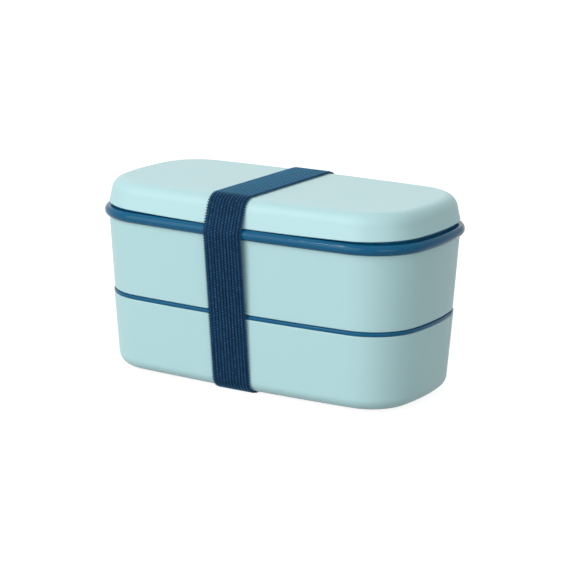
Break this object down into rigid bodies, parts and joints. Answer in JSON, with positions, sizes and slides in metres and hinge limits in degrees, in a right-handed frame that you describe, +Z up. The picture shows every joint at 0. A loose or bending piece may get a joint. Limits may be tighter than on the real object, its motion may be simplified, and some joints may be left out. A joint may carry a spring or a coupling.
{
  "type": "bento lunch box",
  "caption": "Stacked lunch box with bowed sides: food tiers closed by seal lids with blue rims, a round-shouldered cover and an elastic band that holds the stack.",
  "frame": {"origin": "on the surface that the box stands on, under the middle of its bounding box", "axes": "+X along the box's length, +Y from the front to the back, +Z up"},
  "size_m": [0.1876, 0.0984, 0.1015],
  "materials": {
    "aqua_plastic": "soft matte moulding",
    "blue_plastic": "semi-gloss flexible moulding",
    "divider_plastic": "matte moulding",
    "silicone": "soft translucent silicone",
    "navy_elastic": "ribbed woven elastic over rubber threads"
  },
  "bodies": {
    "lower_tier": {"lower_tier": "aqua_plastic"},
    "lower_divider": {"lower_divider": "divider_plastic"},
    "lower_lid": {"lower_lid": "blue_plastic", "lower_lid_seal": "silicone"},
    "upper_tier": {"upper_tier": "aqua_plastic"},
    "upper_divider": {"upper_divider": "divider_plastic"},
    "inner_lid": {"inner_lid": "blue_plastic", "inner_lid_seal": "silicone"},
    "outer_lid": {"outer_lid": "aqua_plastic"},
    "elastic_band": {"elastic_band": "navy_elastic"}
  },
  "joints": [
    {"name": "band_slide", "type": "slide", "parent": "lower_tier", "child": "elastic_band", "axis": [-1, 0, 0], "range_m": [0, 0.112], "deforming": ["elastic_band"]},
    {"name": "lower_divider_slide", "type": "slide", "parent": "lower_tier", "child": "lower_divider", "axis": [1, 0, 0], "range_m": [-0.05, 0.017]},
    {"name": "lower_lid_lift", "type": "slide", "parent": "lower_tier", "child": "lower_lid", "axis": [0, 0, 1], "range_m": [0, 0.075]},
    {"name": "upper_tier_lift", "type": "slide", "parent": "lower_lid", "child": "upper_tier", "axis": [0, 0, 1], "range_m": [0, 0.07]},
    {"name": "upper_divider_slide", "type": "slide", "parent": "upper_tier", "child": "upper_divider", "axis": [1, 0, 0], "range_m": [-0.05, 0.017]},
    {"name": "inner_lid_lift", "type": "slide", "parent": "upper_tier", "child": "inner_lid", "axis": [0, 0, 1], "range_m": [0, 0.045]},
    {"name": "outer_lid_lift", "type": "slide", "parent": "inner_lid", "child": "outer_lid", "axis": [0, 0, 1], "range_m": [0, 0.04]}
  ]
}
